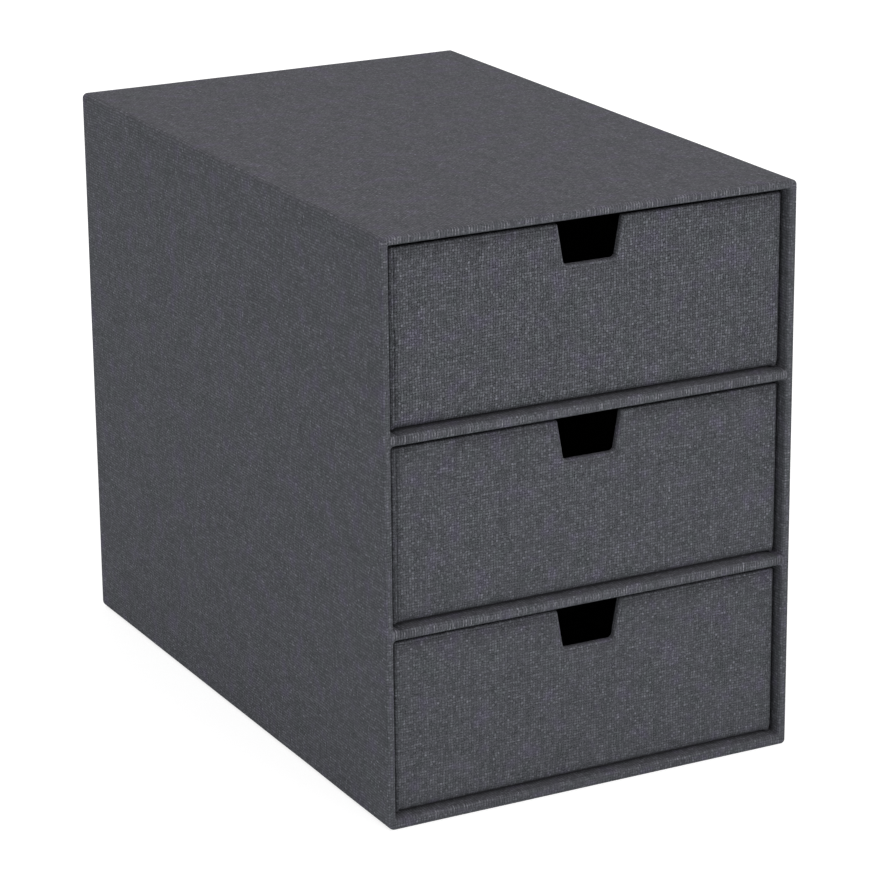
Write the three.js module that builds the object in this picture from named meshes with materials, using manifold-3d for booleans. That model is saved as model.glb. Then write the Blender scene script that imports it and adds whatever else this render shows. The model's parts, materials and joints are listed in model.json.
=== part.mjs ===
// A desk box with three drawers, made as a bookbinder makes a cloth-covered box.
// Rigid boards give the shape, woven cloth covers them outside, and lining sheets cover them inside.
// Millimetres: X to the right, Y to the back, Z up, and the origin under the middle of the box.
import * as THREE from 'three';
import { mergeVertices } from 'three/addons/utils/BufferGeometryUtils.js';
import Module from 'manifold-3d';

const wasm = await Module();
wasm.setup();

// Drawers and the shelves above them, from the lowest bay to the highest
const drawerNames = ['lower_drawer', 'middle_drawer', 'upper_drawer'];
const shelfNames = ['lower_shelf', 'upper_shelf'];

// Outside of the box
const boxWidth = 190;
const boxDepth = 298;
const boxHeight = 247.3;

// Sheets that both the box and its drawers are made of
const clothThickness = 0.45;
const liningThickness = 0.45;
const paperThickness = 0.25;
const glueLine = 0.05;
const seamGap = 0.3;

// Box walls, with a thicker board for the floor and the shelves
const boxBoard = 2.5;
const floorBoard = 3.5;
const boxCornerRound = 2;
const boxTurnIn = 18;
const backFlange = 15;
const baseFlange = 14;
const backSheetInset = 2.5;

// Drawers and their clearances in the bays
const drawerRecess = 3.5;
const drawerSideGap = 1.8;
const drawerTopGap = 2;
const drawerRestGap = 0.3;
const drawerBackGap = 0.4;
const drawerBoard = 2.5;
const drawerCornerRound = 2;
const drawerBottomRoll = 4.5;
const drawerTurnIn = 24;
const drawerFlange = 12;
const basePaperInset = 3;

// Finger notch in the top edge of each drawer front
const notchTopWidth = 29.5;
const notchBottomWidth = 23.5;
const notchDepth = 17;
const notchCornerRound = 2;

// How round an edge is, as a share of its wall, and how finely arcs are cut
const noseRoundShare = 0.27;
const tightRound = 0.12;
const arcSteps = 3;
const cutOverrun = 5;

// Sizes that follow
const skin = clothThickness + glueLine;
const boxWall = skin + boxBoard + glueLine + liningThickness;
const boxFloor = skin + floorBoard + glueLine + liningThickness;
const drawerWall = skin + drawerBoard + glueLine + liningThickness;
const shelfThickness = skin + floorBoard + skin;
const bayCount = drawerNames.length;
const tubeBottom = glueLine;
const baysAndShelves = boxHeight - tubeBottom - boxFloor - boxWall;
const bayHeight = (baysAndShelves - shelfThickness * (bayCount - 1)) / bayCount;
const boxFront = -boxDepth / 2;
const boxBack = boxDepth / 2;
const wrapBack = boxBack - clothThickness - glueLine;
const boardBack = wrapBack - clothThickness - glueLine;
const backInner = boardBack - boxBoard - glueLine - liningThickness;
const bayWidth = boxWidth - boxWall * 2;
const drawerWidth = bayWidth - drawerSideGap * 2;
const drawerDepth = backInner - drawerBackGap - boxFront - drawerRecess;
const drawerHeight = bayHeight - drawerRestGap - drawerTopGap;

const finishes = {
  cloth: { color: '#4c4d52', roughness: 0.92, metalness: 0 },
  board: { color: '#8d867a', roughness: 0.9, metalness: 0 },
  lining: { color: '#3d3e42', roughness: 0.88, metalness: 0 },
  paper: { color: '#35363a', roughness: 0.85, metalness: 0 },
};

// Turns a closed geometry into a solid that can be joined and cut
function solidOf(geometry) {
  const bare = geometry.clone();
  bare.deleteAttribute('normal');
  bare.deleteAttribute('uv');
  const merged = mergeVertices(bare);
  const mesh = new wasm.Mesh({
    numProp: 3,
    vertProperties: new Float32Array(merged.attributes.position.array),
    triVerts: new Uint32Array(merged.index.array),
  });
  return new wasm.Manifold(mesh);
}

// Turns a solid into a named piece with its own material
function piece(name, finish, solid) {
  const mesh = solid.getMesh();
  const geometry = new THREE.BufferGeometry();
  geometry.setAttribute('position', new THREE.BufferAttribute(mesh.vertProperties, 3));
  geometry.setIndex(new THREE.BufferAttribute(mesh.triVerts, 1));
  const flat = geometry.toNonIndexed();
  flat.computeVertexNormals();
  const made = new THREE.Mesh(flat, new THREE.MeshStandardMaterial(finishes[finish]));
  made.name = name;
  return made;
}

// A block between two corners
function block([x0, y0, z0], [x1, y1, z1]) {
  const geometry = new THREE.BoxGeometry(x1 - x0, y1 - y0, z1 - z0);
  geometry.translate((x0 + x1) / 2, (y0 + y1) / 2, (z0 + z1) / 2);
  return solidOf(geometry);
}

// An outline in X and Z is carried along Y, and an outline in Y and Z is carried along X
const outlineAxes = {
  y: new THREE.Matrix4().makeBasis(
    new THREE.Vector3(1, 0, 0), new THREE.Vector3(0, 0, 1), new THREE.Vector3(0, -1, 0)),
  x: new THREE.Matrix4().makeBasis(
    new THREE.Vector3(0, 1, 0), new THREE.Vector3(0, 0, 1), new THREE.Vector3(1, 0, 0)),
};

function prism(shape, axis, from, to) {
  const geometry = new THREE.ExtrudeGeometry(shape, {
    depth: to - from,
    bevelEnabled: false,
    curveSegments: arcSteps,
  });
  geometry.applyMatrix4(outlineAxes[axis]);
  if (axis === 'y') {
    geometry.translate(0, to, 0);
  } else {
    geometry.translate(from, 0, 0);
  }
  return solidOf(geometry);
}

// A rectangle with four round corners
function roundedRectangle(x0, y0, x1, y1, radius) {
  const quarter = Math.PI / 2;
  const shape = new THREE.Shape();
  shape.moveTo(x0 + radius, y0);
  shape.lineTo(x1 - radius, y0);
  shape.absarc(x1 - radius, y0 + radius, radius, -quarter, 0);
  shape.lineTo(x1, y1 - radius);
  shape.absarc(x1 - radius, y1 - radius, radius, 0, quarter);
  shape.lineTo(x0 + radius, y1);
  shape.absarc(x0 + radius, y1 - radius, radius, quarter, quarter * 2);
  shape.lineTo(x0, y0 + radius);
  shape.absarc(x0 + radius, y0 + radius, radius, quarter * 2, quarter * 3);
  return shape;
}

// A quarter of an ellipse as points, from one quarter turn to the next
function quarterArc(centreX, centreY, radiusX, radiusY, firstQuarter, turn) {
  const points = [];
  for (let step = 0; step <= arcSteps; step += 1) {
    const angle = (firstQuarter + (turn * step) / arcSteps) * (Math.PI / 2);
    points.push([centreX + radiusX * Math.cos(angle), centreY + radiusY * Math.sin(angle)]);
  }
  return points;
}

// A section carried round a rectangle with mitred, rounded corners.
// Each section point is an inset from the rectangle's edge and a height along Z.
// Points past the middle of a wall move further in at the far Y side, which may be thicker.
function carryRound(outline, [x0, y0], [x1, y1], cornerRound, wall = 0, farWall = wall) {
  const outlinePoints = outline.map(([inset, along]) => new THREE.Vector2(inset, along));
  const section = THREE.ShapeUtils.isClockWise(outlinePoints) ? [...outline].reverse() : outline;
  const stations = [];
  const extra = farWall - wall;
  const corners = [
    [x0, y0, 1, 1, 2, 0], [x1, y0, -1, 1, 3, 0], [x1, y1, -1, -1, 0, extra], [x0, y1, 1, -1, 1, extra],
  ];
  for (const corner of corners) {
    for (let step = 0; step <= arcSteps; step += 1) {
      stations.push([...corner, step / arcSteps]);
    }
  }
  const positions = [];
  for (const [x, y, inX, inY, quarter, sideExtra, turn] of stations) {
    const angle = (quarter + turn) * (Math.PI / 2);
    for (const [inset, along] of section) {
      const radius = Math.max(cornerRound - inset, tightRound);
      const centre = inset + radius;
      const further = inset > wall / 2 ? sideExtra : 0;
      positions.push(x + inX * centre + radius * Math.cos(angle));
      positions.push(y + inY * (centre + further) + radius * Math.sin(angle));
      positions.push(along);
    }
  }
  const count = section.length;
  const index = [];
  stations.forEach((station, here) => {
    const next = (here + 1) % stations.length;
    for (let point = 0; point < count; point += 1) {
      const other = (point + 1) % count;
      const a = here * count + point;
      const b = here * count + other;
      const c = next * count + other;
      const d = next * count + point;
      index.push(a, b, c, a, c, d);
    }
  });
  const geometry = new THREE.BufferGeometry();
  geometry.setAttribute('position', new THREE.BufferAttribute(new Float32Array(positions), 3));
  geometry.setIndex(index);
  return geometry;
}

// The run of a wrapped skin in section, drawn in by a distance: flange, wall, round nose and turn-in
function boxSkinPath(inset) {
  const nose = boxWall * noseRoundShare;
  const frontCentre = boxFront + nose;
  return [
    [backFlange, wrapBack - inset],
    [inset, wrapBack - inset],
    ...quarterArc(nose, frontCentre, nose - inset, nose - inset, 2, 1),
    ...quarterArc(boxWall - nose, frontCentre, nose - inset, nose - inset, 3, 1),
    [boxWall - inset, boxFront + boxTurnIn],
  ];
}

function drawerSkinPath(inset) {
  const nose = drawerWall * noseRoundShare;
  const noseCentre = drawerHeight - nose;
  const rollDepth = drawerWall - skin;
  const foot = paperThickness + glueLine;
  return [
    [drawerFlange, foot + inset],
    ...quarterArc(rollDepth, foot + drawerBottomRoll, rollDepth - inset, drawerBottomRoll - inset, 3, -1),
    ...quarterArc(nose, noseCentre, nose - inset, nose - inset, 2, -1),
    ...quarterArc(drawerWall - nose, noseCentre, nose - inset, nose - inset, 1, -1),
    [drawerWall - inset, drawerHeight - drawerTurnIn],
  ];
}

// A skin of cloth lies between the outer run and the same run drawn in by its thickness
function clothSection(path) {
  return [...path(0), ...path(clothThickness).reverse()];
}

// Lays a ring that was made round the Z axis on its back, so that it runs from front to back
function laidBack(geometry) {
  geometry.rotateX(-Math.PI / 2);
  return geometry;
}

const leftX = -boxWidth / 2;
const rightX = boxWidth / 2;

// One wall board of the box: the full ring of board, cut down to its side between two mitres
function boxBoardRing() {
  const nose = boxWall * noseRoundShare;
  const frontCentre = boxFront + nose;
  const section = [
    [skin, boardBack],
    ...quarterArc(nose, frontCentre, nose - skin, nose - skin, 2, 1),
    ...quarterArc(boxWall - nose, frontCentre, nose - skin, nose - skin, 3, 1),
    [boxWall - skin, boardBack],
  ];
  const ring = carryRound(
    section, [leftX, -boxHeight], [rightX, -tubeBottom], boxCornerRound, boxWall, boxFloor);
  return solidOf(laidBack(ring));
}

// The wedge of space that belongs to one side of the box, between mitre cuts half a seam away.
// The lower cuts run from the outer to the inner corner, so they rise more than they go in.
function mitreWedge(side, [x0, y0], [x1, y1]) {
  const shift = (seamGap / 2) * Math.SQRT2;
  const outer = -cutOverrun;
  const inner = boxWall + glueLine;
  const lowOuter = outer * (boxFloor / boxWall);
  const lowInner = inner * (boxFloor / boxWall);
  const outlines = {
    low: [
      [x0 + outer + shift, y0 + lowOuter], [x1 - outer - shift, y0 + lowOuter],
      [x1 - inner - shift, y0 + lowInner], [x0 + inner + shift, y0 + lowInner],
    ],
    high: [
      [x0 + inner + shift, y1 - inner], [x1 - inner - shift, y1 - inner],
      [x1 - outer - shift, y1 - outer], [x0 + outer + shift, y1 - outer],
    ],
    left: [
      [x0 + outer, y0 + lowOuter + shift], [x0 + inner, y0 + lowInner + shift],
      [x0 + inner, y1 - inner - shift], [x0 + outer, y1 - outer - shift],
    ],
    right: [
      [x1 - inner, y0 + lowInner + shift], [x1 - outer, y0 + lowOuter + shift],
      [x1 - outer, y1 - outer - shift], [x1 - inner, y1 - inner - shift],
    ],
  };
  return new THREE.Shape(outlines[side].map(([x, y]) => new THREE.Vector2(x, y)));
}

const box = new THREE.Group();

// Four wall boards of the box, mitred to each other like a folded sleeve
const boardRing = boxBoardRing();
const wallSides = { top: 'high', bottom: 'low', left: 'left', right: 'right' };
for (const [name, side] of Object.entries(wallSides)) {
  const wedge = mitreWedge(side, [leftX, tubeBottom], [rightX, boxHeight]);
  const cut = prism(wedge, 'y', boxFront - cutOverrun, boxBack + cutOverrun);
  box.add(piece(`case_${name}_board`, 'board', boardRing.intersect(cut)));
}

// The back board stands inside the four walls, flush with their back ends
const innerBoard = boxWall - skin + glueLine;
const innerFloor = boxFloor - skin + glueLine;
box.add(piece('case_back_board', 'board', block(
  [leftX + innerBoard, boardBack - boxBoard, tubeBottom + innerFloor],
  [rightX - innerBoard, boardBack, boxHeight - innerBoard])));

// One length of cloth wraps the walls, turned in round the front and turned over behind
const coverRing = carryRound(
  clothSection(boxSkinPath), [leftX, -boxHeight], [rightX, -tubeBottom], boxCornerRound,
  boxWall, boxFloor);
const baseWindow = block(
  [leftX + baseFlange, boxFront + baseFlange, -cutOverrun],
  [rightX - baseFlange, boxBack - baseFlange, tubeBottom + clothThickness + glueLine / 2]);
box.add(piece('case_cover_cloth', 'cloth', solidOf(laidBack(coverRing)).subtract(baseWindow)));

// A panel of the same cloth covers the back board and the turned edges
box.add(piece('back_cover_cloth', 'cloth', prism(
  roundedRectangle(
    leftX + backSheetInset, tubeBottom + backSheetInset,
    rightX - backSheetInset, boxHeight - backSheetInset, boxCornerRound),
  'y', boxBack - clothThickness, boxBack)));

// The base sheet fills the field between the cloth edges and is what the box stands on
const baseField = baseFlange + seamGap;
box.add(piece('base_sheet', 'paper', block(
  [leftX + baseField, boxFront + baseField, 0],
  [rightX - baseField, boxBack - baseField, tubeBottom + clothThickness])));

// The lining covers the four walls inside, from the turned-in cloth to the back board
const liningOuter = boxWall - liningThickness;
const liningUnder = boxFloor - liningThickness;
const liningFront = boxFront + boxTurnIn + glueLine;
const liningBack = boardBack - boxBoard - glueLine;
const boxLining = block(
  [leftX + liningOuter, liningFront, tubeBottom + liningUnder],
  [rightX - liningOuter, liningBack, boxHeight - liningOuter]);
const boxHollow = block(
  [leftX + boxWall, liningFront - cutOverrun, tubeBottom + boxFloor],
  [rightX - boxWall, liningBack + cutOverrun, boxHeight - boxWall]);
box.add(piece('case_lining', 'lining', boxLining.subtract(boxHollow)));
box.add(piece('back_lining', 'lining', block(
  [leftX + boxWall + glueLine, backInner, tubeBottom + boxFloor + glueLine],
  [rightX - boxWall - glueLine, liningBack, boxHeight - boxWall - glueLine])));

// A shelf is a board with cloth wrapped over its front edge, glued in between the lined walls
function shelfOutline(inset) {
  const nose = shelfThickness * noseRoundShare;
  const radius = nose - inset;
  const back = backInner - glueLine;
  return [
    [back, shelfThickness - inset],
    ...quarterArc(boxFront + nose, shelfThickness - nose, radius, radius, 1, 1),
    ...quarterArc(boxFront + nose, nose, radius, radius, 2, 1),
    [back, inset],
  ];
}

function shelfShape(points) {
  return new THREE.Shape(points.map(([y, z]) => new THREE.Vector2(y, z)));
}

function addShelf(name, height) {
  const halfWidth = bayWidth / 2 - glueLine;
  const board = prism(shelfShape(shelfOutline(skin)), 'x', -halfWidth, halfWidth);
  const clothRun = [...shelfOutline(0), ...shelfOutline(clothThickness).reverse()];
  const wrap = prism(shelfShape(clothRun), 'x', -halfWidth, halfWidth);
  const shelf = new THREE.Group();
  shelf.add(piece(`${name}_board`, 'board', board));
  shelf.add(piece(`${name}_cloth`, 'cloth', wrap));
  shelf.position.z = height;
  box.add(shelf);
}

// The trapezoid notch, grown by a margin, as an outline in X and Z that runs out over the top edge
function notchShape(margin) {
  const slant = (notchTopWidth - notchBottomWidth) / 2 / notchDepth;
  const bottom = drawerHeight - notchDepth - margin;
  const widen = margin * Math.sqrt(1 + slant * slant);
  const halfAt = (height) => notchBottomWidth / 2 + widen + slant * (height - drawerHeight + notchDepth);
  const round = notchCornerRound + margin;
  const top = drawerHeight + cutOverrun;
  const shape = new THREE.Shape();
  shape.moveTo(-halfAt(top), top);
  shape.lineTo(-halfAt(bottom + round), bottom + round);
  shape.quadraticCurveTo(-halfAt(bottom), bottom, round - halfAt(bottom), bottom);
  shape.lineTo(halfAt(bottom) - round, bottom);
  shape.quadraticCurveTo(halfAt(bottom), bottom, halfAt(bottom + round), bottom + round);
  shape.lineTo(halfAt(top), top);
  return shape;
}

const drawerLow = [-drawerWidth / 2, 0];
const drawerHigh = [drawerWidth / 2, drawerDepth];

// The four walls of a drawer as one solid ring, drawn in by a distance from the cloth's outer face
function drawerWallRing(inset) {
  const section = drawerSkinPath(inset).slice(1);
  return solidOf(carryRound(section, drawerLow, drawerHigh, drawerCornerRound));
}

// The notch cut runs through the front wall alone
function notchCut(margin) {
  return prism(notchShape(margin), 'y', -cutOverrun, drawerWall + cutOverrun);
}

// Drawer boards, with the drawer's front at Y zero and its underside at Z zero.
// Front and back run the full width, and the sides stand between them.
function drawerBoards() {
  const ring = drawerWallRing(skin);
  const inner = drawerWall - skin;
  const frontSlab = block(
    [-drawerWidth, -cutOverrun, -cutOverrun], [drawerWidth, inner, drawerHeight + cutOverrun]);
  const backSlab = block(
    [-drawerWidth, drawerDepth - inner, -cutOverrun],
    [drawerWidth, drawerDepth + cutOverrun, drawerHeight + cutOverrun]);
  const sideStart = inner + seamGap;
  const leftSlab = block(
    [-drawerWidth, sideStart, -cutOverrun],
    [0, drawerDepth - sideStart, drawerHeight + cutOverrun]);
  const rightSlab = block(
    [0, sideStart, -cutOverrun],
    [drawerWidth, drawerDepth - sideStart, drawerHeight + cutOverrun]);
  const foot = paperThickness + glueLine + skin;
  const baseInset = inner + glueLine;
  return {
    front_board: ring.intersect(frontSlab).subtract(notchCut(skin)),
    back_board: ring.intersect(backSlab),
    left_board: ring.intersect(leftSlab),
    right_board: ring.intersect(rightSlab),
    base_board: block(
      [-drawerWidth / 2 + baseInset, baseInset, foot],
      [drawerWidth / 2 - baseInset, drawerDepth - baseInset, foot + drawerBoard]),
  };
}

// The drawer's cloth also runs through the notch, over the cut edge of the front board
function drawerCover() {
  const skinRing = solidOf(carryRound(
    clothSection(drawerSkinPath), drawerLow, drawerHigh, drawerCornerRound));
  const notchEdge = drawerWallRing(0).intersect(notchCut(clothThickness));
  return skinRing.add(notchEdge).subtract(notchCut(0));
}

function drawerLining() {
  const outer = drawerWall - liningThickness;
  const floor = paperThickness + glueLine + skin + drawerBoard + glueLine;
  const top = drawerHeight - drawerTurnIn - glueLine;
  const shell = block(
    [-drawerWidth / 2 + outer, outer, floor],
    [drawerWidth / 2 - outer, drawerDepth - outer, top]);
  const hollow = block(
    [-drawerWidth / 2 + drawerWall, drawerWall, floor + liningThickness],
    [drawerWidth / 2 - drawerWall, drawerDepth - drawerWall, top + cutOverrun]);
  return shell.subtract(hollow);
}

function addDrawer(name, floorHeight) {
  const drawer = new THREE.Group();
  for (const [board, solid] of Object.entries(drawerBoards())) {
    drawer.add(piece(`${name}_${board}`, 'board', solid));
  }
  drawer.add(piece(`${name}_cover_cloth`, 'cloth', drawerCover()));
  drawer.add(piece(`${name}_lining`, 'lining', drawerLining()));
  drawer.add(piece(`${name}_base_paper`, 'paper', block(
    [-drawerWidth / 2 + basePaperInset, basePaperInset, 0],
    [drawerWidth / 2 - basePaperInset, drawerDepth - basePaperInset, paperThickness])));
  drawer.position.set(0, boxFront + drawerRecess, floorHeight + drawerRestGap);
  box.add(drawer);
}

// Each bay holds a drawer, and a shelf closes every bay but the highest
drawerNames.forEach((name, bay) => {
  const floorHeight = tubeBottom + boxFloor + bay * (bayHeight + shelfThickness);
  addDrawer(name, floorHeight);
  if (bay < shelfNames.length) {
    addShelf(shelfNames[bay], floorHeight + bayHeight);
  }
});

export default box;
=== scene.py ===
"""A desk box with three drawers, made of rigid board covered with dark grey woven cloth."""
import json
import math
import bmesh
import bpy
from mathutils import Matrix, Vector, noise


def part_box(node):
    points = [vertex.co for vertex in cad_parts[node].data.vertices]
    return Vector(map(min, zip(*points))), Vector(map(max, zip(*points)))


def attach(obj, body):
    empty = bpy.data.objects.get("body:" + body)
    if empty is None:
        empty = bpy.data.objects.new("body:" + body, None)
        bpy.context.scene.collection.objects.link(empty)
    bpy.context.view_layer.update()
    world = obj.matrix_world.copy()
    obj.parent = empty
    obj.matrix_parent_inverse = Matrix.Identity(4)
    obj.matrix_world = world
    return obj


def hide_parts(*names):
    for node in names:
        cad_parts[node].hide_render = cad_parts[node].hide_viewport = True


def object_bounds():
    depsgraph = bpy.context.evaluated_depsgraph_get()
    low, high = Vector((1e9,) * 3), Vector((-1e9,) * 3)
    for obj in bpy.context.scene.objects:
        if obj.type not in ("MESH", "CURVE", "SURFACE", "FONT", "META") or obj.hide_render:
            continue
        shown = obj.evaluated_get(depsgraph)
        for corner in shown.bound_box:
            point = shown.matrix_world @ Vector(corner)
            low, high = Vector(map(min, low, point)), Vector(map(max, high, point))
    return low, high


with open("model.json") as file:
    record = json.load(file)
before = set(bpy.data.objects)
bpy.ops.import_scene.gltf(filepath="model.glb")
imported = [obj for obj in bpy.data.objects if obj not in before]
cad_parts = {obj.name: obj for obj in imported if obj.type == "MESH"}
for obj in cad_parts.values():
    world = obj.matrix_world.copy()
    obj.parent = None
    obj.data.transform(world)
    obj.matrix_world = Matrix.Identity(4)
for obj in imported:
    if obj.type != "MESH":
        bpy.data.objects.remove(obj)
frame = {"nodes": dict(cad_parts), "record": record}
cad_low, cad_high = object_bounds()
mm = 0.001


# The view. The box is seen from the front, from a little above and to the left of it, with a
# long lens, so its edges run almost parallel.
photo_side_px = 880
focal_length_px = 3608.3
sensor_side_mm = 36
camera_azimuth = math.radians(-27.695)
camera_elevation = math.radians(17.937)
camera_roll = math.radians(-0.548)
camera_place = Vector((-697.1, -1343.6, 599.1)) * mm
nearest_seen = 100 * mm
farthest_seen = 20


def new_object(name, data):
    """An object at the origin, put into the scene."""
    made = bpy.data.objects.new(name, data)
    bpy.context.scene.collection.objects.link(made)
    return made


def add_camera():
    backward = Vector((
        math.sin(camera_azimuth) * math.cos(camera_elevation),
        -math.cos(camera_azimuth) * math.cos(camera_elevation),
        math.sin(camera_elevation)))
    level_right = Vector((math.cos(camera_azimuth), math.sin(camera_azimuth), 0))
    level_up = backward.cross(level_right)
    right = level_right * math.cos(camera_roll) + level_up * math.sin(camera_roll)
    up = backward.cross(right)
    data = bpy.data.cameras.new("long_lens")
    data.sensor_width = sensor_side_mm
    data.lens = sensor_side_mm * focal_length_px / photo_side_px
    data.clip_start = nearest_seen
    data.clip_end = farthest_seen
    camera = new_object("long_lens", data)
    turn = Matrix((right, up, backward)).transposed().to_4x4()
    camera.matrix_world = Matrix.Translation(camera_place) @ turn
    bpy.context.scene.camera = camera


add_camera()


# The studio. A pale floor lies just under the base, below an even sky that looks white and gives
# a slightly pink light. One soft lamp stands in front, a little to the right, so that the top is
# the lightest face and the left side the darkest.
white = (1, 1, 1, 1)
sky_strength = 0.917
seen_sky_strength = 1.0
sky_tint = (1, 0.945, 0.985, 1)
floor_side = 12
floor_height = -0.1 * mm
floor_tone = (0.85, 0.925, 0.905, 1)
floor_shadow_tone = (0.4, 0.42, 0.405, 1)
floor_lift = 0.78
lamp_place = Vector((0.9, -2.35, 1.7))
lamp_side = 1.6
lamp_power = 19.5
lamp_tint = (1, 0.96, 0.975)


def add_node(tree, kind, inputs=None, **settings):
    """Adds a node with its settings, and sets or links its inputs by name or number."""
    node = tree.nodes.new(kind)
    for name, value in settings.items():
        setattr(node, name, value)
    for key, value in (inputs or {}).items():
        socket = node.inputs[key]
        if isinstance(value, bpy.types.NodeSocket):
            tree.links.new(value, socket)
        else:
            socket.default_value = value
    return node


def calc(tree, operation, *values):
    """The result of a Math node."""
    return add_node(tree, "ShaderNodeMath", dict(enumerate(values)), operation=operation).outputs[0]


def times(tree, first, second):
    return calc(tree, "MULTIPLY", first, second)


def spread(tree, value, before=(0, 1), after=(0, 1)):
    """A value moved from one range to another, and held within it."""
    return add_node(tree, "ShaderNodeMapRange", {
        "Value": value, "From Min": before[0], "From Max": before[1],
        "To Min": after[0], "To Max": after[1]}).outputs[0]


def mix_colour(tree, share, first, second, blend="MIX"):
    """The result of a colour mix."""
    return add_node(
        tree, "ShaderNodeMix", {0: share, 6: first, 7: second},
        data_type="RGBA", blend_type=blend).outputs[2]


def seen_directly(tree):
    """One for rays that come from the camera, or from it by a reflection or through glass."""
    path = add_node(tree, "ShaderNodeLightPath")
    seen = path.outputs["Is Camera Ray"]
    for name in ("Is Glossy Ray", "Is Transmission Ray"):
        seen = calc(tree, "MAXIMUM", seen, path.outputs[name])
    return seen


def new_material(name):
    """A material without nodes, and its tree."""
    material = bpy.data.materials.new(name)
    material.use_nodes = True
    material.node_tree.nodes.clear()
    return material, material.node_tree


def add_sky():
    sky = bpy.data.worlds.new("even_sky")
    sky.use_nodes = True
    tree = sky.node_tree
    tree.nodes.clear()
    seen = seen_directly(tree)
    light = add_node(tree, "ShaderNodeBackground", {
        "Color": mix_colour(tree, seen, sky_tint, white),
        "Strength": spread(tree, seen, after=(sky_strength, seen_sky_strength))})
    add_node(tree, "ShaderNodeOutputWorld", {"Surface": light.outputs[0]})
    bpy.context.scene.world = sky


def floor_paper():
    """Pale paper that lights the box from below, and shows white but for the box's shadow."""
    paper, tree = new_material("studio_floor")
    seen = seen_directly(tree)
    tone = mix_colour(tree, seen, floor_tone, floor_shadow_tone)
    face = add_node(tree, "ShaderNodeBsdfDiffuse", {"Color": tone})
    lift = add_node(tree, "ShaderNodeEmission", {"Color": white, "Strength": times(tree, seen, floor_lift)})
    both = add_node(tree, "ShaderNodeAddShader", {0: face.outputs[0], 1: lift.outputs[0]})
    add_node(tree, "ShaderNodeOutputMaterial", {"Surface": both.outputs[0]})
    return paper


def add_floor():
    half = floor_side / 2
    corners = [(-half, -half), (half, -half), (half, half), (-half, half)]
    mesh = bpy.data.meshes.new("studio_floor")
    mesh.from_pydata([(x, y, floor_height) for x, y in corners], [], [(0, 1, 2, 3)])
    mesh.materials.append(floor_paper())
    new_object("studio_floor", mesh)


def add_lamp():
    data = bpy.data.lights.new("front_lamp", "AREA")
    data.size = lamp_side
    data.energy = lamp_power
    data.color = lamp_tint
    lamp = new_object("front_lamp", data)
    aim = lamp_place - (cad_low + cad_high) / 2
    turn = aim.to_track_quat("Z", "Y").to_matrix().to_4x4()
    lamp.matrix_world = Matrix.Translation(lamp_place) @ turn


bpy.context.scene.view_settings.view_transform = "Standard"
add_sky()
add_floor()
add_lamp()


# The cloth. A plain weave of thick and thin dark grey threads, dyed a little unevenly, with pale
# flecks of raw fibre. It is pasted down, so the threads wander but never stand off the board.
# Painted shade darkens the hollows of the weave and the gaps between its threads.
thread_map = "threads"
thread_pitch = Vector((1.2, 1.15)) * mm
thread_drift = 1.4
drifts_per_metre = 60.0
thread_wobble = 0.6
wobbles_per_metre = 430.0
thread_stride = 7.31
warp_seed = 1.7
warp_change = 0.07
warp_contrast = 0.22
weft_seed = 9.2
weft_change = 0.16
weft_contrast = 0.16
crossing_seed = 3.5
crossing_contrast = 0.85
crossing_power = 2.2
crossing_middle = 0.31
crossing_sink = 2.4
least_slack = 2.0
slack_range = 2.4
least_swell = 0.75
swell_range = 0.4
swell_of_thread = 0.8
# Painted shade in the weave's hollows and painted highlight on its crowns, by thread height.
relief_shade_middle = 0.68
relief_shade_contrast = 0.35
# Painted shade in the gaps between threads, along the edges of each warp and weft.
gap_shade_middle = 0.083
weft_gap_shade = 0.4
fibres_per_metre = 1900.0
patches_per_metre = 85.0
patch_contrast = 0.22
darkest_tone = 0.2
fleck_share = 0.012
fleck_softness = 2.5
fleck_cover = 0.7
fleck_tone = (0.24, 0.25, 0.28, 1)
cloth_tone = (0.0818, 0.0862, 0.0943, 1)
# Greenish and violet patches of dye: the tint, the range in which it comes up, and its share.
cloth_tints = (
    ((0.079, 0.090, 0.092, 1), (0.46, 0.32), 0.5), ((0.087, 0.083, 0.112, 1), (0.56, 0.68), 0.65))
cloth_roughness = (0.98, 0.82)
cloth_gloss = 0.08
cloth_sheen = 0.01
cloth_sheen_roughness = 0.6
thread_relief = 0.16 * mm
relief_strength = 0.7
value_kinds = {float: "NodeSocketFloat", int: "NodeSocketInt"}


def plus(tree, first, second):
    return calc(tree, "ADD", first, second)


def minus(tree, first, second):
    return calc(tree, "SUBTRACT", first, second)


def vector_calc(tree, operation, first, second):
    """The result of a Vector Math node."""
    return add_node(tree, "ShaderNodeVectorMath", {0: first, 1: second}, operation=operation).outputs[0]


def scaled(tree, vector, amount):
    return add_node(
        tree, "ShaderNodeVectorMath", {0: vector, "Scale": amount}, operation="SCALE").outputs[0]


def joined(tree, x, y, z):
    """A vector made of three values."""
    return add_node(tree, "ShaderNodeCombineXYZ", {0: x, 1: y, 2: z}).outputs[0]


def grey(tree, value):
    """A value as a colour."""
    return add_node(tree, "ShaderNodeCombineColor", {0: value, 1: value, 2: value}).outputs[0]


def soft_noise(tree, place, scale, detail=2.0, roughness=0.5):
    """The outputs of a soft noise at a place."""
    return add_node(tree, "ShaderNodeTexNoise", {
        "Vector": place, "Scale": scale, "Detail": detail, "Roughness": roughness}).outputs


def new_group(name, inputs, outputs, kind="ShaderNodeTree", output_kind="NodeSocketFloat"):
    """A node group with its sockets, what goes into it and what comes out.

    An input is told by the value that it starts from, or else by its kind.
    """
    group = bpy.data.node_groups.new(name, kind)
    for socket, start in inputs.items():
        value_kind = value_kinds.get(type(start))
        made = group.interface.new_socket(socket, in_out="INPUT", socket_type=value_kind or start)
        if value_kind:
            made.default_value = start
    for socket in outputs:
        group.interface.new_socket(socket, in_out="OUTPUT", socket_type=output_kind)
    return group, add_node(group, "NodeGroupInput").outputs, add_node(group, "NodeGroupOutput").inputs


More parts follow.
